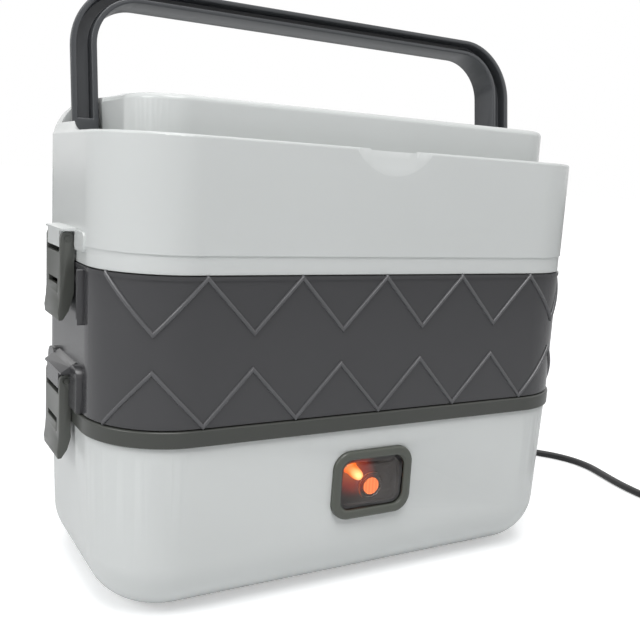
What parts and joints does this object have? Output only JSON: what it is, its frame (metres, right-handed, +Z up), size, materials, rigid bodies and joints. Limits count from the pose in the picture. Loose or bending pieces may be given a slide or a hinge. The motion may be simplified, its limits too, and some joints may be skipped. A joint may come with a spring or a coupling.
{
  "type": "electric lunch box",
  "caption": "Stacked electric lunch box with a heated base, a zigzag-ribbed middle tier, a lift-off lid, side latches, a folding carry handle and a mains cord.",
  "frame": {"origin": "middle of the foot print, on the ground", "axes": "+Z up, -Y towards the front with the indicator window, +X towards the right end"},
  "size_m": [0.4894, 0.2457, 0.2531],
  "materials": {
    "white_abs": "glossy",
    "dark_grey_abs": "glossy",
    "olive_grey_pp": "satin",
    "handle_pp": "satin",
    "stainless": "brushed",
    "aluminium": "satin",
    "zinc_steel": "bright zinc",
    "silicone": "matt",
    "black_rubber": "matt",
    "black_pvc": "satin",
    "black_plastic": "satin",
    "brass": "bright",
    "smoked_pc": "clear, smoked",
    "cream_plastic": "matt",
    "amber_glow": "glowing",
    "ptc_ceramic": "matt",
    "lead_silicone": "matt"
  },
  "bodies": {
    "base": {"base_shell": "white_abs", "bottom_cover": "white_abs", "cover_screws": "zinc_steel", "feet": "black_rubber", "base_collar": "olive_grey_pp", "heating_tray": "aluminium", "heater_block": "ptc_ceramic", "heater_bracket": "zinc_steel", "bracket_screws": "zinc_steel", "thermostat": "black_plastic", "thermal_fuse": "zinc_steel", "wiring": "lead_silicone", "indicator_bezel": "olive_grey_pp", "indicator_lens": "smoked_pc", "lamp_holder": "cream_plastic", "indicator_lamp": "amber_glow", "power_inlet": "black_plastic", "inlet_pins": "brass", "cord_connector": "black_plastic", "connector_relief": "black_pvc", "cord_lead": "black_pvc", "cord_coil": "black_pvc", "cord_tie": "black_plastic", "cord_tail": "black_pvc", "plug_relief": "black_pvc", "mains_plug": "black_plastic", "plug_pins": "zinc_steel"},
    "tier": {"tier_shell": "dark_grey_abs", "tier_gasket": "silicone", "lower_latch_pin_left": "zinc_steel", "lower_latch_pin_right": "zinc_steel"},
    "lid": {"lid_shell": "white_abs", "lid_liner": "white_abs", "lid_gasket": "silicone", "handle_pin_left": "zinc_steel", "handle_pin_right": "zinc_steel", "upper_latch_pin_left": "zinc_steel", "upper_latch_pin_right": "zinc_steel"},
    "lower_bowl": {"lower_bowl": "stainless"},
    "upper_bowl": {"upper_bowl": "stainless"},
    "handle": {"handle": "handle_pp"},
    "upper_latch_left": {"upper_latch_left": "olive_grey_pp"},
    "upper_latch_right": {"upper_latch_right": "olive_grey_pp"},
    "lower_latch_left": {"lower_latch_left": "olive_grey_pp"},
    "lower_latch_right": {"lower_latch_right": "olive_grey_pp"}
  },
  "joints": [
    {"name": "tier_lift", "type": "slide", "parent": "base", "child": "tier", "axis": [0, 0, 1], "range_m": [0, 0.07]},
    {"name": "lower_bowl_lift", "type": "slide", "parent": "base", "child": "lower_bowl", "axis": [0, 0, 1], "range_m": [0, 0.035]},
    {"name": "lid_lift", "type": "slide", "parent": "tier", "child": "lid", "axis": [0, 0, 1], "range_m": [0, 0.07]},
    {"name": "upper_bowl_lift", "type": "slide", "parent": "tier", "child": "upper_bowl", "axis": [0, 0, 1], "range_m": [0, 0.035]},
    {"name": "handle_swing", "type": "hinge", "parent": "lid", "child": "handle", "pos_m": [0, 0.0098, 0.1883], "axis": [1, 0, 0], "range_deg": [0, 98]},
    {"name": "upper_latch_left_swing", "type": "hinge", "parent": "lid", "child": "upper_latch_left", "pos_m": [-0.1207, 0, 0.1494], "axis": [0, 1, 0], "range_deg": [0, 75]},
    {"name": "upper_latch_right_swing", "type": "hinge", "parent": "lid", "child": "upper_latch_right", "pos_m": [0.1207, 0, 0.1494], "axis": [0, -1, 0], "range_deg": [0, 75]},
    {"name": "lower_latch_left_swing", "type": "hinge", "parent": "tier", "child": "lower_latch_left", "pos_m": [-0.1207, 0, 0.0919], "axis": [0, 1, 0], "range_deg": [0, 75]},
    {"name": "lower_latch_right_swing", "type": "hinge", "parent": "tier", "child": "lower_latch_right", "pos_m": [0.1207, 0, 0.0919], "axis": [0, -1, 0], "range_deg": [0, 75]}
  ],
  "couplings": [
    {"joint": "lower_bowl_lift", "follows": "tier_lift", "ratio": 0.5},
    {"joint": "upper_bowl_lift", "follows": "lid_lift", "ratio": 0.5}
  ]
}
